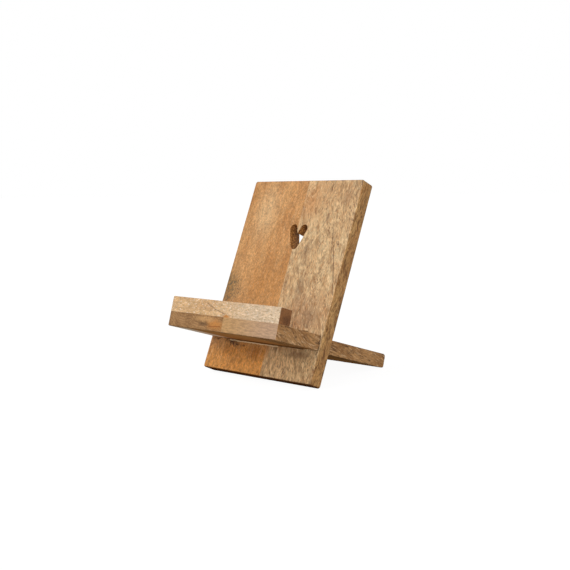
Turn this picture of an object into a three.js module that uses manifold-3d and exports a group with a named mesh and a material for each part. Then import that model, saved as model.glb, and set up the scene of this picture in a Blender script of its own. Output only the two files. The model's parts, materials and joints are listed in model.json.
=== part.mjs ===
// Slot-together wooden phone stand. A leaning back panel with a heart-shaped cut-out carries a T-shaped
// base board: the shelf in front holds the phone, and the tongue goes through a slot in the panel and
// down to the table as the rear leg. Both boards are glued up from two staves, and a lip bar is glued
// along the front of the shelf.
//
// Millimetres. +X is the viewer's right, +Y goes to the rear and +Z is up. The origin is on the table,
// in the middle of the stand's footprint.
import * as THREE from "three";
import { mergeVertices } from "three/addons/utils/BufferGeometryUtils.js";
import Module from "manifold-3d";

const wasm = await Module();
wasm.setup();

const { degToRad } = THREE.MathUtils;

// How the two boards stand
const PANEL_LEAN = degToRad(23); // the back panel, from the vertical
const BASE_SLOPE = degToRad(16.3); // the base board, down towards the rear
const GLUE_LINE = 0.3; // between glued pieces
const CURVE_STEPS = 6; // facets in a rounded corner

// Back panel. Heights are measured up the board from its lower end.
const PANEL_WIDTH = 100;
const PANEL_HEIGHT = 140;
const PANEL_THICKNESS = 10.5;
const PANEL_CORNER = 1.7; // radius of the outline's corners
const PANEL_EASE = 0.8; // rounding of its long edges
const PANEL_SEAM_AT_FOOT = 5.2; // the glued seam's place across the board
const PANEL_SEAM_AT_TOP = 2.6;

// Slot for the base board's tongue
const SLOT_WIDTH = 74;
const SLOT_HEIGHT = 12.1;
const SLOT_FOOT = 22.1;
const SLOT_CORNER = 1;

// Heart: two rounded arms that meet in a blunt tip. Its own origin is at the tip's height.
const HEART_ACROSS = 4.2; // its axis, to the right of the panel's middle
const HEART_FOOT = 89.5;
const HEART_ARM_RADIUS = 3;
const HEART_ARM_ACROSS = 4.7; // from the axis to the centre of an arm's round end
const HEART_ARM_UP = 14.9;
const HEART_TIP_RADIUS = 3.3;
const HEART_CLEFT_UP = 11.4;
const HEART_SIDE_BULGE = 0.3;

// Base board. Distances along it are measured to the rear from the panel's front face.
const BASE_WIDTH = 100;
const BASE_THICKNESS = 10;
const BASE_UP_PANEL = 27.5; // where its middle plane meets the panel's front face
const BASE_SEAM = 2;
const BASE_EASE = 0.6; // rounding of the edges along its ends and sides
const BASE_CORNER = 0.9; // rounding of the edges across its front
const SHELF_DEPTH = 42.2;
const SHOULDER_GAP = 0.9; // lets the sloping shoulders clear the panel
const TONGUE_WIDTH = 73;
const TONGUE_TOP_ROUND = 2.2; // rounding of the rear leg's end
const TONGUE_FOOT_ROUND = 1.2;

// Lip bar
const LIP_DEPTH = 10.5;
const LIP_HEIGHT = 10.5;

// The table's height below the foot of the panel's front face, which is the panel group's origin
const TABLE =
  PANEL_EASE * Math.cos(PANEL_LEAN) -
  (PANEL_THICKNESS - PANEL_EASE) * Math.sin(PANEL_LEAN) -
  PANEL_EASE;
// The base board's origin, on the panel's front face
const BASE_Y = BASE_UP_PANEL * Math.sin(PANEL_LEAN);
const BASE_Z = BASE_UP_PANEL * Math.cos(PANEL_LEAN);
// The tongue is as long as brings the rounded edge under its end down to the table
const FOOT_CENTRE_DOWN = BASE_THICKNESS / 2 - TONGUE_FOOT_ROUND;
const TONGUE_LENGTH =
  (BASE_Z - TABLE - TONGUE_FOOT_ROUND - FOOT_CENTRE_DOWN * Math.cos(BASE_SLOPE)) /
    Math.sin(BASE_SLOPE) +
  TONGUE_FOOT_ROUND;

// A closed outline through corners [x, y, radius], each rounded to its radius, drawn anticlockwise.
function roundedShape(corners) {
  const shape = new THREE.Shape();
  corners.forEach(([x, y, radius], i) => {
    const [beforeX, beforeY] = corners.at(i - 1);
    const [afterX, afterY] = corners[(i + 1) % corners.length];
    const into = Math.atan2(y - beforeY, x - beforeX);
    const out = Math.atan2(afterY - y, afterX - x);
    const turn = Math.atan2(Math.sin(out - into), Math.cos(out - into));
    const side = Math.sign(turn);
    const run = radius * Math.tan(Math.abs(turn) / 2);
    const startX = x - run * Math.cos(into);
    const startY = y - run * Math.sin(into);
    if (i === 0) {
      shape.moveTo(startX, startY);
    } else {
      shape.lineTo(startX, startY);
    }
    if (radius > 0) {
      const quarter = (side * Math.PI) / 2;
      const centreX = startX + radius * Math.cos(into + quarter);
      const centreY = startY + radius * Math.sin(into + quarter);
      shape.absarc(centreX, centreY, radius, into - quarter, out - quarter, side < 0);
    }
  });
  shape.closePath();
  return shape;
}

function rectangle(left, right, bottom, top, radius) {
  return roundedShape([
    [left, bottom, radius],
    [right, bottom, radius],
    [right, top, radius],
    [left, top, radius],
  ]);
}

// The shape as a slab whose middle plane is z = 0, with its edges rounded by ease.
function slab(shape, thickness, ease = 0) {
  const geometry = new THREE.ExtrudeGeometry(shape, {
    depth: thickness - 2 * ease,
    bevelEnabled: ease > 0,
    bevelThickness: ease,
    bevelSize: ease,
    bevelOffset: -ease,
    bevelSegments: 3,
    curveSegments: CURVE_STEPS,
  });
  return geometry.translate(0, 0, ease - thickness / 2);
}

function toSolid(geometry) {
  const bare = geometry.clone();
  bare.deleteAttribute("normal");
  bare.deleteAttribute("uv");
  const merged = mergeVertices(bare, 1e-4);
  return new wasm.Manifold(
    new wasm.Mesh({
      numProp: 3,
      vertProperties: merged.attributes.position.array,
      triVerts: new Uint32Array(merged.index.array),
    }),
  );
}

function toMesh(name, solid, color, roughness) {
  const { vertProperties, triVerts } = solid.getMesh();
  const geometry = new THREE.BufferGeometry();
  geometry.setAttribute("position", new THREE.BufferAttribute(vertProperties, 3));
  geometry.setIndex(new THREE.BufferAttribute(triVerts, 1));
  const flat = geometry.toNonIndexed();
  flat.computeVertexNormals();
  const material = new THREE.MeshStandardMaterial({ color, roughness, metalness: 0 });
  const mesh = new THREE.Mesh(flat, material);
  mesh.name = name;
  return mesh;
}

// One side of a board: everything to the left or right of a seam that runs from foot to top.
function seamSide(side, foot, top, low, high) {
  const reach = side * 2 * PANEL_WIDTH;
  const gap = (side * GLUE_LINE) / 2;
  const outline = roundedShape([
    [foot + gap, low, 0],
    [top + gap, high, 0],
    [reach, high, 0],
    [reach, low, 0],
  ]);
  return toSolid(slab(outline, 4 * PANEL_WIDTH));
}

function heartShape() {
  const r = HEART_ARM_RADIUS;
  // the outer side runs from the tip's round to the arm's round, and touches both
  const sideX = HEART_ARM_ACROSS;
  const sideY = HEART_ARM_UP - HEART_TIP_RADIUS;
  const apart = Math.hypot(sideX, sideY);
  const outer = Math.atan2(sideY, sideX) - Math.acos((r - HEART_TIP_RADIUS) / apart);
  // the inner side leaves the cleft as a tangent to the arm's round
  const cleftY = HEART_ARM_UP - HEART_CLEFT_UP;
  const reach = Math.hypot(sideX, cleftY);
  const inner = Math.atan2(cleftY, sideX) + Math.asin(r / reach) + Math.PI / 2;
  const tipX = HEART_TIP_RADIUS * Math.cos(outer);
  const tipY = HEART_TIP_RADIUS * (1 + Math.sin(outer));
  const armX = HEART_ARM_ACROSS + r * Math.cos(outer);
  const armY = HEART_ARM_UP + r * Math.sin(outer);
  const bulgeX = (tipX + armX) / 2 + HEART_SIDE_BULGE * Math.cos(outer);
  const bulgeY = (tipY + armY) / 2 + HEART_SIDE_BULGE * Math.sin(outer);

  const shape = new THREE.Shape();
  shape.moveTo(tipX, tipY);
  shape.quadraticCurveTo(bulgeX, bulgeY, armX, armY);
  shape.absarc(HEART_ARM_ACROSS, HEART_ARM_UP, r, outer, inner, false);
  shape.lineTo(0, HEART_CLEFT_UP);
  shape.absarc(-HEART_ARM_ACROSS, HEART_ARM_UP, r, Math.PI - inner, Math.PI - outer, false);
  shape.quadraticCurveTo(-bulgeX, bulgeY, -tipX, tipY);
  shape.absarc(0, HEART_TIP_RADIUS, HEART_TIP_RADIUS, Math.PI - outer, 2 * Math.PI + outer, false);
  return shape;
}

// The whole panel, front face on z = 0 and the foot on y = 0, before it is parted along its seam.
function panelBoard() {
  const half = PANEL_WIDTH / 2;
  const outline = rectangle(-half, half, 0, PANEL_HEIGHT, PANEL_CORNER);
  const board = toSolid(slab(outline, PANEL_THICKNESS, PANEL_EASE));
  const slotTop = SLOT_FOOT + SLOT_HEIGHT;
  const slotShape = rectangle(-SLOT_WIDTH / 2, SLOT_WIDTH / 2, SLOT_FOOT, slotTop, SLOT_CORNER);
  const slot = toSolid(slab(slotShape, 3 * PANEL_THICKNESS));
  const heartCut = slab(heartShape(), 3 * PANEL_THICKNESS).translate(HEART_ACROSS, HEART_FOOT, 0);
  return board.subtract(slot).subtract(toSolid(heartCut)).translate([0, 0, -PANEL_THICKNESS / 2]);
}

function panelStaves() {
  const board = panelBoard();
  const part = (side) =>
    board.intersect(seamSide(side, PANEL_SEAM_AT_FOOT, PANEL_SEAM_AT_TOP, 0, PANEL_HEIGHT));
  return [
    toMesh("panel_left_stave", part(-1), 0xcb9a68, 0.6),
    toMesh("panel_right_stave", part(1), 0xc9a67c, 0.62),
  ];
}

// A length of a side profile, drawn with its x to the rear and its y up, laid across the stand.
function acrossStand(shape, width, ease) {
  return toSolid(slab(shape, width, ease).rotateX(Math.PI / 2).rotateZ(Math.PI / 2));
}

// Shelf and lip in one profile, so that their faces and outer edges are flush.
function shelfWithLip() {
  const front = -SHELF_DEPTH;
  const shoulder = -SHOULDER_GAP;
  const top = BASE_THICKNESS / 2;
  const lipTop = top + LIP_HEIGHT;
  const profile = roundedShape([
    [front, -top, BASE_CORNER],
    [shoulder, -top, 0],
    [shoulder, top, 0],
    [front + LIP_DEPTH, top, 0],
    [front + LIP_DEPTH, lipTop, BASE_CORNER],
    [front, lipTop, BASE_CORNER],
  ]);
  return acrossStand(profile, BASE_WIDTH, BASE_EASE);
}

function tongue() {
  const half = BASE_THICKNESS / 2;
  const insideShelf = -SHELF_DEPTH / 2;
  const profile = roundedShape([
    [insideShelf, -half, 0],
    [TONGUE_LENGTH, -half, TONGUE_FOOT_ROUND],
    [TONGUE_LENGTH, half, TONGUE_TOP_ROUND],
    [insideShelf, half, 0],
  ]);
  return acrossStand(profile, TONGUE_WIDTH, BASE_EASE);
}

// Everything between two heights.
function layer(low, high) {
  const block = new THREE.BoxGeometry(4 * BASE_WIDTH, 4 * BASE_WIDTH, high - low);
  return toSolid(block.translate(0, 0, (low + high) / 2));
}

function basePieces() {
  const glue = BASE_THICKNESS / 2;
  const front = shelfWithLip();
  const board = front.intersect(layer(-2 * glue, glue)).add(tongue());
  const lip = front.intersect(layer(glue + GLUE_LINE, glue + 2 * LIP_HEIGHT));
  const part = (side) =>
    board.intersect(seamSide(side, BASE_SEAM, BASE_SEAM, -2 * BASE_WIDTH, 2 * BASE_WIDTH));
  return [
    toMesh("base_left_stave", part(-1), 0xa87d4f, 0.6),
    toMesh("base_right_stave", part(1), 0xb4906a, 0.6),
    toMesh("lip_bar", lip, 0xdcc29b, 0.55),
  ];
}

const backPanel = new THREE.Group();
backPanel.rotation.x = Math.PI / 2 - PANEL_LEAN;
backPanel.add(...panelStaves());

const base = new THREE.Group();
base.position.set(0, BASE_Y, BASE_Z);
base.rotation.x = -BASE_SLOPE;
base.add(...basePieces());

const phoneStand = new THREE.Group();
phoneStand.add(backPanel, base);
const box = new THREE.Box3().setFromObject(phoneStand, true);
phoneStand.position.set(0, -(box.min.y + box.max.y) / 2, -box.min.z);

export default phoneStand;
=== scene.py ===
"""A slot-together wooden phone stand: a leaning back panel with a heart cut through it, and a T-shaped
base board with a lip bar, both in open-pored hardwood. Metres, in the CAD model's frame."""
import json
import math

import bmesh
import bpy
from mathutils import Matrix, Vector, noise


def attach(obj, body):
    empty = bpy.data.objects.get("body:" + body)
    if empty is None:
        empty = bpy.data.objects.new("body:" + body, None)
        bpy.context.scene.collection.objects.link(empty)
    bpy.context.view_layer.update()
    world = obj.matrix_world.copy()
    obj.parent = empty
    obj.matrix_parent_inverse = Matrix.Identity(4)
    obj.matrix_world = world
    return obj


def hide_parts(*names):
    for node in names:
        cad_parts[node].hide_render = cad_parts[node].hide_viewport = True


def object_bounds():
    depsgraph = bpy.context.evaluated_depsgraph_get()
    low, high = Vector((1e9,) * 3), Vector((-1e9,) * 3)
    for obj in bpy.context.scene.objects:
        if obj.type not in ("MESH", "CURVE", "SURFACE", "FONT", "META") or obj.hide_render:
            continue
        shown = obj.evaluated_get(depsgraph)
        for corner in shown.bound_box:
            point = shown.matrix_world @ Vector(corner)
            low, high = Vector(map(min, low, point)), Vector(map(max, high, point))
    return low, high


MM = 0.001

# Camera, round the middle of the stand
CAMERA_AZIMUTH = 43.12  # degrees to the right of the front
CAMERA_ELEVATION = 5.6
CAMERA_ROLL = -0.475
CAMERA_DISTANCE = 0.62
CAMERA_AIM = Vector((14.2, -16.5, -2.5)) * MM  # from the middle of the stand's box
CAMERA_LENS = 59.34

# Meshes
FINE_CUT = 5 * MM  # grid that the flat faces are cut to
CUT_EASE = 0.3 * MM  # rounding of the panel's cut rims
BASE_EASE = 0.7 * MM  # of the base's
LIP_EASE = 1.1 * MM  # and of the lip bar's
TAIL_ROUND = 2.2 * MM  # rounding of the tongue's end
TAIL_CUTS_ALONG = (0.25, 0.6, 1.0)  # shares of it where the board is cut across
TAIL_CUTS_ACROSS = (0.3, 1.0)  # and where it is cut through its thickness
BEVEL_STEPS = 3
HAIRLINE = 0.005 * MM  # what is left of a glue line
SANDING = 0.09 * MM  # how far sanding takes a surface down at most
SANDING_MEAN, SANDING_SWING = 0.6, 0.4  # shares of it
SANDING_WAVE = 22 * MM
SHARP = math.radians(50)  # edges sharper than this get a rim
SMOOTH = math.radians(32)  # edges up to this are shaded smooth
FLAT = math.radians(0.5)  # faces that turn less than this are one face
ON_PLANE = 0.02 * MM
CUT_SNAP = 0.01 * MM
SAME_POINT = 0.002 * MM
SEAM_END = 4 * MM  # how near a board's end the corners of its seam are
PANEL_SEED, BASE_SEED, LIP_SEED = 2.0, 5.0, 9.0

# Materials
GLOSS = 0.3  # specular level
ROUGHNESS = 0.58
RELIEF, RELIEF_DEPTH = 0.5, 0.12 * MM
EDGE_WIDTH, EDGE_PALENESS = 0.9 * MM, 0.5
LAYER_START = 0.5  # share of a growth layer after which it darkens

# Places on the boards, in millimetres
HEART_MIDDLE, HEART_REACH = (4.2, 98.5, -5), (12, 12, 30)
FOOT_EDGE = (0.3, 0.9)  # up the panel, where the painted shade on its foot edge fades out
FOOT_STREAKS_FADE = (14, 26)  # up the panel
TONGUE_START = (60, 75)  # from the base's front, where the painted shade along the tongue's underside sets in

# Studio
FLOOR_HALF = 30.0

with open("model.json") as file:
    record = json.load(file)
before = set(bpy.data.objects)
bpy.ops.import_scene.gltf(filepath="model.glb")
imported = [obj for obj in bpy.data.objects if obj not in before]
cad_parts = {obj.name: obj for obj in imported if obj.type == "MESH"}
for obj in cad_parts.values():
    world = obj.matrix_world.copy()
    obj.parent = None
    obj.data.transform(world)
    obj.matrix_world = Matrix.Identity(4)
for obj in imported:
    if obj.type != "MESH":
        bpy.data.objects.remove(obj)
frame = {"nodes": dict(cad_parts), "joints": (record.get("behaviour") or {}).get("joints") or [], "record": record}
CAD_LOW, CAD_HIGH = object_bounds()


# ---------------------------------------------------------------- board frames


def mount(name):
    return next(m for m in frame["record"]["mounts"] if m["name"] == name)


def node_points(*names):
    return [v.co for name in names for v in frame["nodes"][name].data.vertices]


def board_frame(along, out, names):
    """The board's own frame: x across the stand, y along the board and z out of its upper or front
    face. Its origin is on the stand's middle plane, where y is lowest and z is highest."""
    x = Vector((1, 0, 0))
    turn = Matrix((x, along, out)).transposed()
    local = [turn.transposed() @ p for p in node_points(*names)]
    origin = turn @ Vector((0, min(p.y for p in local), max(p.z for p in local)))
    return Matrix.Translation(origin) @ turn.to_4x4()


def panel_frame():
    out = Vector(mount("phone_back_rest")["axis"]).normalized()
    along = out.cross(Vector((1, 0, 0)))
    return board_frame(along, out, ("panel_left_stave", "panel_right_stave"))


def base_frame():
    along = -Vector(frame["joints"][0]["axis"]).normalized()
    out = Vector((1, 0, 0)).cross(along)
    return board_frame(along, out, ("base_left_stave", "base_right_stave"))


# ---------------------------------------------------------------- meshes


def node_mesh(node, place):
    """A bmesh of a CAD node in a board's frame, with its flat faces whole again."""
    bm = bmesh.new()
    bm.from_mesh(frame["nodes"][node].data)
    bm.transform(place.inverted())
    bmesh.ops.remove_doubles(bm, verts=bm.verts, dist=SAME_POINT)
    bmesh.ops.dissolve_limit(bm, angle_limit=FLAT, verts=bm.verts, edges=bm.edges)
    return bm


def on_plane(vertex, point, normal):
    return abs((vertex.co - point).dot(normal)) < ON_PLANE


def close_glue_line(bm, point, normal, travel):
    """Moves the glued face through point out by travel, straight along the nearest axis. Gives its
    new place."""
    axis = max(range(3), key=lambda i: abs(normal[i]))
    step = Vector([travel / normal[i] if i == axis else 0 for i in range(3)])
    for v in bm.verts:
        if on_plane(v, point, normal):
            v.co += step
    return point + step


def ease_rims(bm, glued_at, normal, ease):
    """Rounds every sharp edge that isn't part of the glued face."""
    sharp = [
        e
        for e in bm.edges
        if len(e.link_faces) == 2
        and e.calc_face_angle() > SHARP
        and not all(on_plane(v, glued_at, normal) for v in e.verts)
    ]
    bmesh.ops.bevel(
        bm,
        geom=sharp,
        offset=ease,
        segments=BEVEL_STEPS,
        profile=0.5,
        affect="EDGES",
        clamp_overlap=True,
    )


def cut_across(bm, point, normal):
    """Cuts every face that the plane through point meets."""
    geometry = bm.verts[:] + bm.edges[:] + bm.faces[:]
    bmesh.ops.bisect_plane(bm, geom=geometry, dist=CUT_SNAP, plane_co=point, plane_no=normal)


def cut_grid(bm):
    """Cuts the faces along planes across x and y, so that they can take a gentle wave."""
    for axis in (0, 1):
        places = [v.co[axis] for v in bm.verts]
        normal = Vector((axis == 0, axis == 1, 0))
        steps = int((max(places) - min(places)) / FINE_CUT)
        for i in range(1, steps + 1):
            cut_across(bm, normal * (min(places) + i * FINE_CUT), normal)


def round_tail(bm):
    """Rounds the far end of the board, seen from the side."""
    far = max(v.co.y for v in bm.verts)
    low, high = min(v.co.z for v in bm.verts), max(v.co.z for v in bm.verts)
    for share in TAIL_CUTS_ALONG:
        cut_across(bm, (0, far - TAIL_ROUND * share, 0), (0, 1, 0))
    for share in TAIL_CUTS_ACROSS:
        cut_across(bm, (0, 0, low + TAIL_ROUND * share), (0, 0, 1))
        cut_across(bm, (0, 0, high - TAIL_ROUND * share), (0, 0, 1))
    for v in bm.verts:
        beyond = v.co.y - (far - TAIL_ROUND)
        rise = max(v.co.z - (high - TAIL_ROUND), low + TAIL_ROUND - v.co.z)
        reach = math.hypot(beyond, rise)
        if beyond > 0 and rise > 0 and reach > TAIL_ROUND:
            pull = TAIL_ROUND / reach - 1
            v.co.y += beyond * pull
            v.co.z += rise * pull * (1 if v.co.z > (low + high) / 2 else -1)


def sand(bm, seed, glued_at, normal):
    """Takes the surface down by a gentle, uneven depth, except on the glued face."""
    bm.normal_update()
    moves = []
    for v in bm.verts:
        if not on_plane(v, glued_at, normal):
            wave = noise.noise(v.co / SANDING_WAVE + Vector((seed, 0, 0)))
            depth = SANDING_MEAN + SANDING_SWING * wave
            moves.append((v, v.normal * SANDING * depth))
    for v, move in moves:
        v.co -= move


def refined(node, place, glued_at, normal, travel, seed, material, ease):
    """The CAD node as a finished piece of wood: glued up, its rims eased and its faces sanded. A base
    stave's far end is rounded too."""
    bm = node_mesh(node, place)
    glued_at = close_glue_line(bm, glued_at, normal, travel)
    ease_rims(bm, glued_at, normal, ease)
    if node.startswith("base"):
        round_tail(bm)
    cut_grid(bm)
    sand(bm, seed, glued_at, normal)
    bm.transform(place)
    mesh = bpy.data.meshes.new(node + "_fine")
    bm.to_mesh(mesh)
    bm.free()
    mesh.shade_smooth()
    mesh.set_sharp_from_angle(angle=SMOOTH)
    mesh.materials.append(material)
    piece = bpy.data.objects.new(node + "_fine", mesh)
    bpy.context.scene.collection.objects.link(piece)
    return piece


# ---------------------------------------------------------------- shader graphs


def srgb(code):
    """A linear colour from a hexadecimal sRGB code."""
    channels = [int(code[i : i + 2], 16) / 255 for i in (0, 2, 4)]
    linear = [c / 12.92 if c <= 0.04045 else ((c + 0.055) / 1.055) ** 2.4 for c in channels]
    return (*linear, 1)


class Graph:
    """A material's nodes, by short calls. Values may be numbers, vectors, colours or other nodes'
    outputs."""

    def __init__(self, name):
        self.material = bpy.data.materials.new(name)
        self.material.use_nodes = True
        self.tree = self.material.node_tree
        self.shader = self.tree.nodes["Principled BSDF"]

    def put(self, socket, value):
        if isinstance(value, bpy.types.NodeSocket):
            self.tree.links.new(value, socket)
        else:
            socket.default_value = value

    def node(self, kind, inputs, output=0, **settings):
        made = self.tree.nodes.new(kind)
        for key, value in settings.items():
            setattr(made, key, value)
        for key, value in inputs.items():
            self.put(made.inputs[key], value)
        return made.outputs[output]

    def math(self, operation, a, b=0.0):
        return self.node("ShaderNodeMath", {0: a, 1: b}, operation=operation)

    def vector_math(self, operation, a, b=(0, 0, 0), output="Vector"):
        return self.node("ShaderNodeVectorMath", {0: a, 1: b}, output, operation=operation)

    def noise(self, at, detail=2.0, roughness=0.5, output="Fac"):
        inputs = {"Vector": at, "Scale": 1.0, "Detail": detail, "Roughness": roughness}
        return self.node("ShaderNodeTexNoise", inputs, output)

    def turned(self, vector, rotation, location=(0, 0, 0), scale=(1, 1, 1), kind="POINT"):
        inputs = {"Vector": vector, "Scale": scale, "Rotation": rotation}
        if kind == "POINT":
            inputs["Location"] = location
        return self.node("ShaderNodeMapping", inputs, vector_type=kind)

    def stretched(self, at, size, offset=(0, 0, 0)):
        """at, with a length of size in each direction brought to 1."""
        scale = [1 / length for length in size]
        return self.node("ShaderNodeMapping", {"Vector": at, "Scale": scale, "Location": offset})

    def ramp(self, value, low, high, to_low=0.0, to_high=1.0):
        """value's way from low to high as a soft step from to_low to to_high."""
        inputs = {"Value": value, 1: low, 2: high, 3: to_low, 4: to_high}
        return self.node("ShaderNodeMapRange", inputs, interpolation_type="SMOOTHSTEP")

    def mix(self, share, a, b, blend="MIX"):
        return self.node(
            "ShaderNodeMix", {0: share, 6: a, 7: b}, 2, data_type="RGBA", blend_type=blend
        )

    def grey(self, value):
        return self.node("ShaderNodeCombineColor", {0: value, 1: value, 2: value})


# ---------------------------------------------------------------- wood


class Wood(Graph):
    """Open-pored hardwood in a board's frame, in millimetres. Its grain runs along the board, or as
    turn says."""

    def __init__(self, name, place, seed, wander, turn=(0, 0, 0)):
        super().__init__(name)
        self.seed = seed
        to_board = place.inverted()
        turned = to_board.to_euler()
        here = self.node("ShaderNodeTexCoord", {}, "Object")
        facing = self.node("ShaderNodeTexCoord", {}, "Normal")
        self.at = self.turned(here, turned, to_board.translation * 1000, (1000,) * 3)
        self.facing = self.turned(facing, turned, kind="VECTOR")
        self.grain_facing = self.turned(self.facing, turn, kind="VECTOR")
        straight = self.turned(self.at, turn)
        slow = self.noise(self.stretched(straight, (26, 48, 26), (seed, 0, 0)), 2, 0.5, "Color")
        sway = self.vector_math("MULTIPLY", self.centred(slow), (8 * wander, 0, 8 * wander))
        self.grain = self.vector_math("ADD", straight, sway)
        ragged = self.noise(self.stretched(self.at, (2.5, 5, 2.5), (0, seed, 0)), 3, 0.6, "Color")
        self.jitter = self.vector_math("MULTIPLY", self.centred(ragged), (3, 6, 3))
        self.colour = (0, 0, 0, 1)
        self.gloss = GLOSS
        self.heights = []

    def centred(self, colour):
        return self.vector_math("SUBTRACT", colour, (0.5, 0.5, 0.5))

    def vector(self, value):
        return self.node("ShaderNodeCombineXYZ", {0: value, 1: value, 2: value})

    def axis(self, vector, name):
        return self.node("ShaderNodeSeparateXYZ", {0: vector}, name)

    def ragged(self):
        """The place on the board, a little displaced, for patches with an uneven outline."""
        return self.vector_math("ADD", self.at, self.jitter)

    def reach(self, here, centre, size):
        """How far here is from centre: 1 on an ellipsoid of those half sizes."""
        away = self.vector_math("SUBTRACT", here, centre)
        scaled = self.vector_math("DIVIDE", away, size)
        return self.vector_math("LENGTH", scaled, output="Value")

    def side_on(self, amount):
        """amount on the long edge faces, and 0 elsewhere."""
        across = self.math("ABSOLUTE", self.axis(self.facing, "X"))
        return self.ramp(across, 0.4, 0.8, 0.0, amount)

    def streaky(self, width, length, offset, detail=3, roughness=0.6):
        """Noise drawn out along the grain."""
        at = self.stretched(self.grain, (width, length, width), (self.seed, offset, offset))
        return self.noise(at, detail, roughness)

    def tint(self, share, tone):
        self.colour = self.mix(share, self.colour, srgb(tone))

    def deepen(self, share, tone):
        self.colour = self.mix(share, self.colour, self.mix(1.0, self.colour, srgb(tone), "MULTIPLY"))

    def vary(self, value, contrast):
        """Darkens the wood where value is low and lightens it where it is high."""
        shade = self.ramp(value, 0.3, 0.7, 1 - contrast, 1 + contrast)
        self.colour = self.mix(1.0, self.colour, self.grey(shade), "MULTIPLY")

    def ground(self, pale, deep, width, length):
        """Two tones that drift into each other in long bands."""
        self.pale = srgb(pale)
        self.colour = self.pale
        self.tint(self.ramp(self.streaky(width, length, 3), 0.36, 0.64), deep)

    def layers(self, tone, amount, spacing, slant):
        """Growth layers, each with a soft start and a darker end."""
        lift = self.vector_math("DOT_PRODUCT", self.grain, Vector(slant).normalized(), "Value")
        ripple = self.math("MULTIPLY", self.streaky(9, 30, 13), spacing * 3)
        depth = self.math("DIVIDE", self.math("ADD", lift, ripple), spacing)
        edge = self.ramp(self.math("FRACT", depth), LAYER_START, 0.98)
        self.tint(self.math("MULTIPLY", edge, amount), tone)
        self.heights.append((edge, -0.15))

    def streaks(self, tone, amount, width, length, offset, start, full, bands=None):
        """Lines of that tone along the grain. bands gathers them: the width and length of a band."""
        share = self.ramp(self.streaky(width, length, offset), start, full)
        if bands:
            gathered = self.streaky(*bands, offset + 1, detail=2)
            share = self.math("MULTIPLY", share, self.ramp(gathered, 0.4, 0.6, 0.1, 1.0))
        self.tint(self.math("MULTIPLY", share, amount), tone)
        self.heights.append((share, -0.3))

    def fibres(self, contrast, width, length):
        """Fine light and dark fibres."""
        fibre = self.streaky(width, length, 5, 3, 0.7)
        self.vary(fibre, contrast)
        self.heights.append((fibre, 0.8))
        self.fibre = fibre

    def mottle(self, contrast, size):
        """The shimmer of wavy grain: soft blotches of that size."""
        blotch = self.noise(self.stretched(self.at, size, (0, 0, self.seed)), 3, 0.65)
        self.vary(blotch, contrast)

    def pores(self, tone, amount, width, length):
        """Open pores: short dark dashes along the grain, and dots on the end grain."""
        at = self.stretched(self.grain, (width * 2, length * 1.2, width * 2), (self.seed, 0, 9))
        inputs = {"Vector": at, "Scale": 1.0, "Randomness": 1.0}
        reach = self.node("ShaderNodeTexVoronoi", inputs, "Distance")
        pore = self.ramp(reach, 0.16, 0.34, 1.0, 0.0)
        scatter = self.ramp(self.streaky(4, 16, 21, detail=2), 0.42, 0.58, 0.15, 1.0)
        pore = self.math("MULTIPLY", pore, scatter)
        self.tint(self.math("MULTIPLY", pore, amount), tone)
        self.heights.append((pore, -1.0))

    def foot_streaks(self, tone, amount):
        """Dark lines along the grain at the panel's foot."""
        share = self.ramp(self.streaky(0.9, 4.5, 47), 0.5, 0.66)
        low = self.ramp(self.axis(self.at, "Y"), *FOOT_STREAKS_FADE, amount, 0.0)
        self.tint(self.math("MULTIPLY", share, low), tone)

    def side_streaks(self, tone, amount):
        """Dark lines on the long edge faces."""
        side_on = self.side_on(amount)
        share = self.ramp(self.streaky(1.2, 18, 51), 0.52, 0.68)
        self.tint(self.math("MULTIPLY", share, side_on), tone)

    def stain_and_painted_shade(self, tone, amount, centre, size, edge):
        """A ragged patch in an ellipsoid of those half sizes: a stain, and in a few places painted shade. edge is
        the share over which it fades.
        """
        reach = self.reach(self.ragged(), centre, size)
        self.tint(self.ramp(reach, 1 - edge, 1.0, amount, 0.0), tone)

    def crackle(self, tone, amount, centre, size):
        """A patch of fine dark lines that branch and break off."""
        here = self.ragged()
        inputs = {"Vector": self.stretched(here, (1.7, 2.6, 1.7)), "Scale": 1.0}
        to_edge = self.node("ShaderNodeTexVoronoi", inputs, "Distance", feature="DISTANCE_TO_EDGE")
        vein = self.ramp(to_edge, 0.02, 0.2, 1.0, 0.0)
        kept = self.ramp(self.noise(self.stretched(self.at, (1.6, 2, 1.6), (7, 0, 0))), 0.42, 0.6)
        inside = self.ramp(self.reach(here, centre, size), 0.3, 1.0, amount, 0.0)
        self.tint(self.math("MULTIPLY", self.math("MULTIPLY", vein, kept), inside), tone)

    def line(self, tone, amount, start, end, width):
        """A dark or light line from start to end, a little wavy."""
        start, end = Vector(start), Vector(end)
        run = end - start
        wave = self.vector_math("MULTIPLY", self.jitter, (0.4, 0.2, 0.4))
        wavy = self.vector_math("ADD", self.at, wave)
        away = self.vector_math("SUBTRACT", wavy, start)
        share = self.vector_math("DOT_PRODUCT", away, run / run.length_squared, "Value")
        share = self.node("ShaderNodeClamp", {0: share, 1: 0.0, 2: 1.0})
        nearest = self.vector_math("MULTIPLY", tuple(run), self.vector(share))
        reach = self.vector_math("DISTANCE", away, nearest, "Value")
        self.tint(self.ramp(reach, width * 0.3, width, amount, 0.0), tone)

    def ends(self, tone, amount):
        """End grain, toned apart from the faces."""
        end_on = self.math("ABSOLUTE", self.axis(self.grain_facing, "Y"))
        self.deepen(self.ramp(end_on, 0.5, 0.9, 0.0, amount), tone)

    def sides(self, tone, amount):
        """The long edge faces, darker than the front: partly the wood's own tone, partly painted shade."""
        self.deepen(self.side_on(amount), tone)

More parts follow.
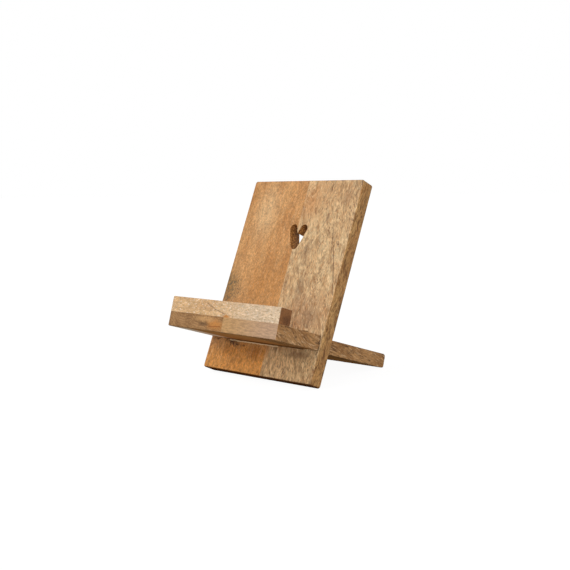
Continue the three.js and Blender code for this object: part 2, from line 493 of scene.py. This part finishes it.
    def pale_edges(self):
        """The edges, a little paler than the faces. Gives the edges' mask."""
        rounded = self.node("ShaderNodeBevel", {"Radius": EDGE_WIDTH}, samples=4)
        flat = self.node("ShaderNodeNewGeometry", {}, "Normal")
        turned = self.vector_math("DOT_PRODUCT", rounded, flat, "Value")
        edge = self.ramp(turned, 0.8, 0.99, 1.0, 0.0)
        worn = self.ramp(self.fibre, 0.35, 0.6, 0.1, EDGE_PALENESS)
        share = self.math("MULTIPLY", edge, worn)
        self.colour = self.mix(share, self.colour, self.mix(0.6, self.colour, self.pale))
        return edge

    def finish(self):
        edge = self.pale_edges()
        self.put(self.shader.inputs["Base Color"], self.colour)
        satin = self.ramp(self.fibre, 0.25, 0.75, ROUGHNESS - 0.07, ROUGHNESS + 0.08)
        satin = self.math("SUBTRACT", satin, self.math("MULTIPLY", edge, 0.08))
        self.put(self.shader.inputs["Roughness"], satin)
        self.put(self.shader.inputs["Specular IOR Level"], self.gloss)
        height = 0.0
        for value, weight in self.heights:
            height = self.math("ADD", height, self.math("MULTIPLY", value, weight))
        inputs = {"Strength": RELIEF, "Distance": RELIEF_DEPTH, "Height": height}
        self.put(self.shader.inputs["Normal"], self.node("ShaderNodeBump", inputs))
        return self.material


def dark_heart(wood):
    """The walls of the heart: dark brown, with a few black and orange flecks."""
    across = wood.math("ABSOLUTE", wood.axis(wood.facing, "Z"))
    wall = wood.ramp(across, 0.35, 0.75, 1.0, 0.0)
    inside = wood.ramp(wood.reach(wood.at, HEART_MIDDLE, HEART_REACH), 0.95, 1.0, 1.0, 0.0)
    fleck = wood.noise(wood.stretched(wood.at, (0.9, 1.2, 0.9)), 2, 0.6)
    tone = wood.mix(wood.ramp(fleck, 0.48, 0.64), srgb("8a5a2a"), srgb("c98c4c"))
    tone = wood.mix(wood.ramp(fleck, 0.3, 0.38, 1.0, 0.0), tone, srgb("1c0f06"))
    wood.colour = wood.mix(wood.math("MULTIPLY", wall, inside), wood.colour, tone)


def painted_shade_foot(wood):
    """The eased edge that the panel stands on: painted shade, dark and without sheen."""
    uneven = wood.vector_math("MULTIPLY", wood.jitter, (0, 0.1, 0))
    height = wood.axis(wood.vector_math("ADD", wood.at, uneven), "Y")
    wood.tint(wood.ramp(height, *FOOT_EDGE, 0.9, 0.0), "4a2810")
    wood.gloss = wood.ramp(height, *FOOT_EDGE, 0.0, GLOSS)


def slot_marks_shade_and_highlight(wood):
    """Darker patches and dark spots under the slot; painted shade in its lower rim and under the base's right end;
    and a pale line below its edge, a painted highlight.
    """
    wood.stain_and_painted_shade("6a411f", 0.6, (-28, 20.2, 0), (9, 2.4, 6), edge=0.8)
    wood.stain_and_painted_shade("2e1b0d", 0.9, (-29, 20.6, 0), (3.4, 1.3, 6), edge=0.9)
    wood.stain_and_painted_shade("2e1b0d", 0.9, (-23, 19.6, 0), (2.6, 1.3, 6), edge=0.9)
    wood.stain_and_painted_shade("2e1b0d", 0.8, (-17, 18.6, 0), (1.8, 1.0, 6), edge=0.9)
    wood.stain_and_painted_shade("4a2c16", 0.8, (-42, 21.3, 0), (4.5, 1.2, 6), edge=0.9)
    wood.crackle("33200f", 0.95, (-28, 19.4, 0), (12, 4.5, 9))
    # Painted shade under the base's right end.
    wood.stain_and_painted_shade("6b4a2e", 0.6, (34, 18, 0), (13, 4, 9), edge=0.8)
    # Painted shade in the slot's lower rim.
    wood.line("4a2c16", 0.75, (-32, 22.6, 0), (-8, 22.6, 0), 0.8)
    # Painted highlight: a pale line below the slot's lower edge.
    wood.line("f7dfb2", 0.95, (-31, 21.5, 0), (14, 21.4, 0), 0.6)


def panel_left_wood(place):
    wood = Wood("panel_left_wood", place, seed=1.7, wander=1.2)
    wood.ground("c9955d", "ba824a", width=9, length=50)
    wood.stain_and_painted_shade("d9b281", 0.75, (-30, 116, 0), (16, 30, 20), edge=0.9)
    wood.stain_and_painted_shade("b9803f", 0.5, (-12, 60, 0), (34, 36, 30), edge=0.9)
    wood.stain_and_painted_shade("b0763a", 0.6, (-47, 128, 0), (6, 13, 20), edge=0.9)
    wood.stain_and_painted_shade("dc9442", 0.8, (-10, 5, 0), (60, 19, 12), edge=0.5)
    # Painted shade right under the shelf, in the next two patches.
    wood.stain_and_painted_shade("9a5a1a", 0.7, (-4, 15, 0), (11, 7, 8), edge=0.9)
    wood.stain_and_painted_shade("9a5a1a", 0.4, (-30, 14, 0), (9, 5, 8), edge=0.9)
    wood.stain_and_painted_shade("8d6a3a", 0.8, (-50, 60, 0), (19, 21, 9), edge=0.9)
    wood.streaks("a9713a", 0.35, 3.5, 24, 7, 0.5, 0.7)
    wood.streaks("dfb583", 0.3, 1.6, 20, 17, 0.56, 0.72)
    wood.mottle(0.12, (4, 6, 4))
    wood.mottle(0.22, (1.0, 1.5, 1.0))
    wood.streaks("8f5c2a", 0.4, 0.7, 2.2, 27, 0.55, 0.68)
    wood.streaks("e6c08e", 0.35, 0.7, 2.0, 37, 0.56, 0.68)
    wood.fibres(0.16, 0.6, 2.0)
    wood.foot_streaks("6f3c10", 0.55)
    wood.crackle("58523e", 1.0, (-47, 58, 0), (20, 16, 8))
    slot_marks_shade_and_highlight(wood)
    wood.ends("b08a68", 0.8)
    dark_heart(wood)
    painted_shade_foot(wood)
    return wood.finish()


def panel_right_wood(place):
    lean = math.radians(-9)
    wood = Wood("panel_right_wood", place, seed=4.1, wander=2.2, turn=(0, 0, lean))
    wood.ground("dab98b", "c8a173", width=6, length=26)
    wood.stain_and_painted_shade("cc9b68", 0.5, (20, 132, 0), (34, 34, 30), edge=0.9)
    # Painted shade above the shelf at the right.
    wood.stain_and_painted_shade("a87f5a", 0.75, (28, 44, 0), (28, 24, 30), edge=0.9)
    wood.stain_and_painted_shade("d8ae7a", 0.6, (26, 5, 0), (50, 19, 12), edge=0.5)
    wood.streaks("97744c", 0.6, 3.2, 11, 7, 0.5, 0.62)
    wood.streaks("b07c4a", 0.5, 2.0, 6, 57, 0.54, 0.66)
    wood.stain_and_painted_shade("8a6a4a", 0.6, (17, 87, 0), (5, 15, 12), edge=0.9)
    wood.stain_and_painted_shade("8a6a4a", 0.6, (20, 62, 0), (7, 14, 12), edge=0.9)
    wood.stain_and_painted_shade("8a6a4a", 0.5, (34, 44, 0), (9, 10, 12), edge=0.9)
    wood.stain_and_painted_shade("9a7350", 0.5, (40, 128, 0), (6, 10, 12), edge=0.9)
    wood.mottle(0.14, (2.4, 4, 2.4))
    wood.streaks("745036", 0.75, 1.0, 5.0, 27, 0.53, 0.63, bands=(5, 14))
    wood.streaks("eed3a4", 0.5, 1.0, 4.2, 37, 0.56, 0.66)
    wood.fibres(0.24, 0.7, 2.4)
    wood.pores("6b4a2f", 0.7, width=0.6, length=3.0)
    wood.stain_and_painted_shade("c98648", 0.4, (9, 124, 0), (11, 20, 8), edge=0.9)
    wood.streaks("c07f44", 0.4, 0.9, 2.4, 61, 0.56, 0.68)
    wood.stain_and_painted_shade("c98648", 0.6, (4, 17, 0), (6, 9, 8), edge=0.9)
    wood.stain_and_painted_shade("6e5039", 0.6, (27.5, 113, 0), (2.6, 6, 6), edge=0.9)
    wood.line("6b4b30", 0.65, (39, 93, 0), (49, 60, 0), 0.7)
    wood.line("6b4b30", 0.55, (34, 108, 0), (39, 88, 0), 0.6)
    wood.foot_streaks("5a3d24", 0.5)
    slot_marks_shade_and_highlight(wood)
    wood.ends("b08a68", 0.8)
    wood.sides("e2cca8", 0.9)
    wood.side_streaks("563419", 0.8)
    dark_heart(wood)
    painted_shade_foot(wood)
    return wood.finish()


def base_left_wood(place):
    wood = Wood("base_left_wood", place, seed=8.3, wander=2.0)
    wood.ground("ae8354", "936b40", width=6, length=60)
    wood.layers("6a4526", 0.5, 1.7, slant=(0.24, 0.05, 1))
    wood.stain_and_painted_shade("c5823c", 0.85, (-5, 0, -5.5), (11, 8, 5.5), edge=0.8)
    wood.stain_and_painted_shade("d0a068", 0.7, (-15, 0, -2.5), (14, 6, 2.8), edge=0.8)
    wood.stain_and_painted_shade("5f4226", 0.7, (-15, 0, -6), (7, 6, 2.0), edge=0.8)
    wood.streaks("603c20", 0.5, 1.4, 14, 7, 0.54, 0.66, bands=(8, 30))
    wood.fibres(0.2, 0.8, 3)
    wood.pores("5b3a20", 0.6, 0.6, 3)
    wood.line("8a4c1c", 0.7, (-10, 0, -7), (0, 0, -6.4), 0.6)
    underside_painted_light_and_shade(wood)
    return wood.finish()


def base_right_wood(place):
    slant = math.radians(14)
    wood = Wood("base_right_wood", place, seed=12.9, wander=2.0, turn=(slant, 0, 0))
    wood.ground("b48655", "9b6d3f", width=5, length=30)
    wood.layers("77532f", 0.4, 2.6, slant=(0.1, 0.1, 1))
    wood.streaks("4a3019", 0.85, 0.9, 11, 7, 0.54, 0.63, bands=(3, 20))
    wood.streaks("dab488", 0.65, 0.9, 10, 17, 0.55, 0.65)
    wood.fibres(0.26, 0.7, 4.0)
    wood.pores("47301a", 0.75, width=0.65, length=3)
    # Painted shade: a dark line in the gap where the base's side meets the panel.
    wood.line("3a2413", 0.7, (50, 40.7, 0), (50, 40.9, -10), 0.9)
    plain_front(wood, 0.8)
    underside_painted_light_and_shade(wood)
    return wood.finish()


def plain_front(wood, share):
    """The front end of this stave, which shows little grain."""
    front = wood.ramp(wood.axis(wood.facing, "Y"), -0.9, -0.6, share, 0.0)
    near = wood.ramp(wood.axis(wood.at, "Y"), 0.5, 1.0, 1.0, 0.0)
    across = wood.ramp(wood.axis(wood.at, "X"), 0, 50)
    grain = wood.noise(wood.stretched(wood.at, (4.5, 4, 1.0)), 3, 0.65)
    soft = wood.mix(across, srgb("c19763"), srgb("bd9c80"))
    shade = wood.ramp(grain, 0.3, 0.7, 0.76, 1.24)
    soft = wood.mix(1.0, soft, wood.grey(shade), "MULTIPLY")
    wood.colour = wood.mix(wood.math("MULTIPLY", front, near), wood.colour, soft)


def underside_painted_light_and_shade(wood):
    """The underside, with painted light and shade: pale at the left and orange in the middle, a little darker
    along the tongue.
    """
    down = wood.ramp(wood.axis(wood.facing, "Z"), -0.9, -0.6, 1.0, 0.0)
    under_shelf = wood.math("MULTIPLY", down, wood.ramp(wood.axis(wood.at, "Y"), 1, 3))
    across = wood.axis(wood.ragged(), "X")
    # Painted light: orange in the middle of the underside.
    orange = wood.ramp(across, 18, 36, 0.8, 0.0)
    wood.tint(wood.math("MULTIPLY", under_shelf, orange), "cd9052")
    # Painted light: pale at the left of the underside.
    pale = wood.ramp(across, -35, -28, 0.9, 0.0)
    wood.tint(wood.math("MULTIPLY", under_shelf, pale), "fbe6c8")
    # Painted shade along the tongue's underside.
    tongue = wood.ramp(wood.axis(wood.at, "Y"), *TONGUE_START, 0.0, 0.5)
    wood.tint(wood.math("MULTIPLY", down, tongue), "5a3a1e")
    wood.gloss = wood.ramp(down, 0.0, 1.0, GLOSS, 0.0)


def lip_wood(place):
    wood = Wood("lip_wood", place, seed=17.3, wander=1.6, turn=(0, 0, math.pi / 2))
    wood.ground("d9b07e", "ca9f70", width=5, length=30)
    pale_right(wood)
    wood.streaks("97734c", 0.5, 0.7, 2.2, 7, 0.52, 0.64)
    wood.streaks("f2e4cf", 0.55, 0.7, 2.0, 17, 0.54, 0.66)
    wood.mottle(0.1, (3, 3, 3))
    wood.fibres(0.15, 0.6, 1.6)
    wood.line("7d5a3a", 0.6, (-15, 0, 8), (-7, 0, 4.5), 0.6)
    wood.line("7d5a3a", 0.6, (-7, 0, 4.5), (2, 0, 2), 0.5)
    wood.stain_and_painted_shade("c07c34", 0.9, (4, 0, 0.4), (4.5, 8, 1.8), edge=0.7)
    wood.mottle(0.12, (9, 1.4, 2.6))
    # Painted shade low on the bar's right end.
    wood.stain_and_painted_shade("5a3820", 0.45, (50, 7, 3), (5, 6, 5), edge=0.9)
    wood.ends("a8805a", 1.0)
    return wood.finish()


def pale_right(wood):
    """The bar gets paler towards its right end."""
    share = wood.ramp(wood.axis(wood.at, "X"), -20, 40, 0.0, 0.8)
    wood.tint(share, "dac2a4")


# ---------------------------------------------------------------- pieces


def seam_line(place, left, right):
    """A point on each side of the glued seam, and the seam's normal, towards the right, in the
    board's frame."""
    to_board = place.inverted()
    left_points = [to_board @ p for p in node_points(left)]
    right_points = [to_board @ p for p in node_points(right)]
    low, high = min(p.y for p in left_points), max(p.y for p in left_points)
    at_low = max((p for p in left_points if p.y < low + SEAM_END), key=lambda p: p.x)
    at_high = max((p for p in left_points if p.y > high - SEAM_END), key=lambda p: p.x)
    beyond = min((p for p in right_points if p.y < low + SEAM_END), key=lambda p: p.x)
    along = at_high - at_low
    along.z = 0
    return at_low, beyond, along.normalized().cross(Vector((0, 0, 1)))


def staves(place, board, left_wood, right_wood, seed, ease):
    """A board's two staves, each moved up to the middle of the seam."""
    left, right = board + "_left_stave", board + "_right_stave"
    at_left, at_right, normal = seam_line(place, left, right)
    travel = ((at_right - at_left).dot(normal) - HAIRLINE) / 2
    return {
        left: refined(left, place, at_left, normal, travel, seed, left_wood(place), ease),
        right: refined(right, place, at_right, -normal, travel, seed + 1, right_wood(place), ease),
    }


def lip(place):
    """The lip bar, let down on to the shelf."""
    to_board = place.inverted()
    under = min((to_board @ p).z for p in node_points("lip_bar"))
    down = Vector((0, 0, -1))
    at = Vector((0, 0, under))
    travel = under - HAIRLINE
    wood = lip_wood(place)
    return {"lip_bar": refined("lip_bar", place, at, down, travel, LIP_SEED, wood, LIP_EASE)}


def build_stand():
    panel, base = panel_frame(), base_frame()
    panel_pieces = staves(
        panel, "panel", panel_left_wood, panel_right_wood, PANEL_SEED, CUT_EASE
    )
    base_pieces = staves(base, "base", base_left_wood, base_right_wood, BASE_SEED, BASE_EASE)
    base_pieces.update(lip(base))
    for body, pieces in (("back_panel", panel_pieces), ("base", base_pieces)):
        for node, piece in pieces.items():
            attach(piece, body)
            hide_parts(node)


# ---------------------------------------------------------------- studio


def studio_white(shown, light):
    """A white table top. The camera sees it brighter than it lights the stand from below."""
    g = Graph("studio_white")
    g.shader.inputs["Base Color"].default_value = (0.12, 0.12, 0.12, 1)
    g.shader.inputs["Roughness"].default_value = 1.0
    g.shader.inputs["Specular IOR Level"].default_value = 0.0
    g.shader.inputs["Emission Color"].default_value = (1, 1, 1, 1)
    seen = g.node("ShaderNodeLightPath", {}, "Is Camera Ray")
    g.put(g.shader.inputs["Emission Strength"], g.ramp(seen, 0.0, 1.0, light, shown))
    return g.material


def studio_floor():
    mesh = bpy.data.meshes.new("studio_floor")
    half = FLOOR_HALF
    corners = [(-half, -half, 0), (half, -half, 0), (half, half, 0), (-half, half, 0)]
    mesh.from_pydata(corners, [], [(0, 1, 2, 3)])
    mesh.materials.append(studio_white(shown=0.94, light=0.22))
    floor = bpy.data.objects.new("studio_floor", mesh)
    bpy.context.scene.collection.objects.link(floor)


def direction(azimuth, elevation):
    """The unit vector towards that azimuth, to the right of the front, and that elevation."""
    a, e = math.radians(azimuth), math.radians(elevation)
    return Vector((math.sin(a) * math.cos(e), -math.cos(a) * math.cos(e), math.sin(e)))


def soft_sun(name, azimuth, elevation, spread, strength):
    light = bpy.data.lights.new(name, "SUN")
    light.angle = math.radians(spread)
    light.energy = strength
    lamp = bpy.data.objects.new(name, light)
    lamp.rotation_euler = direction(azimuth, elevation).to_track_quat("Z", "Y").to_euler()
    bpy.context.scene.collection.objects.link(lamp)


def surroundings(shown, light):
    """A white surround. The camera sees it brighter than it lights the stand."""
    world = bpy.data.worlds.new("studio")
    world.use_nodes = True
    nodes, links = world.node_tree.nodes, world.node_tree.links
    path = nodes.new("ShaderNodeLightPath")
    strength = nodes.new("ShaderNodeMix")
    strength.inputs[2].default_value = light
    strength.inputs[3].default_value = shown
    links.new(path.outputs["Is Camera Ray"], strength.inputs[0])
    links.new(strength.outputs[0], nodes["Background"].inputs["Strength"])
    nodes["Background"].inputs["Color"].default_value = (1, 1, 1, 1)
    bpy.context.scene.world = world


def studio_lights():
    surroundings(shown=1.0, light=0.45)
    soft_sun("key_light", azimuth=-28, elevation=42, spread=50, strength=1.22)
    soft_sun("fill_light", azimuth=55, elevation=9, spread=36, strength=1.75)


def studio_camera():
    data = bpy.data.cameras.new("studio_camera")
    data.sensor_width = 36
    data.lens = CAMERA_LENS
    data.clip_start = 0.01
    camera = bpy.data.objects.new("studio_camera", data)
    towards = direction(CAMERA_AZIMUTH, CAMERA_ELEVATION)
    camera.location = (CAD_LOW + CAD_HIGH) / 2 + CAMERA_AIM + towards * CAMERA_DISTANCE
    aim = towards.to_track_quat("Z", "Y")
    roll = Matrix.Rotation(math.radians(CAMERA_ROLL), 4, "Z")
    camera.rotation_euler = (aim.to_matrix().to_4x4() @ roll).to_euler()
    bpy.context.scene.collection.objects.link(camera)
    bpy.context.scene.camera = camera


build_stand()
studio_floor()
studio_lights()
studio_camera()
bpy.context.scene.view_settings.view_transform = "Standard"
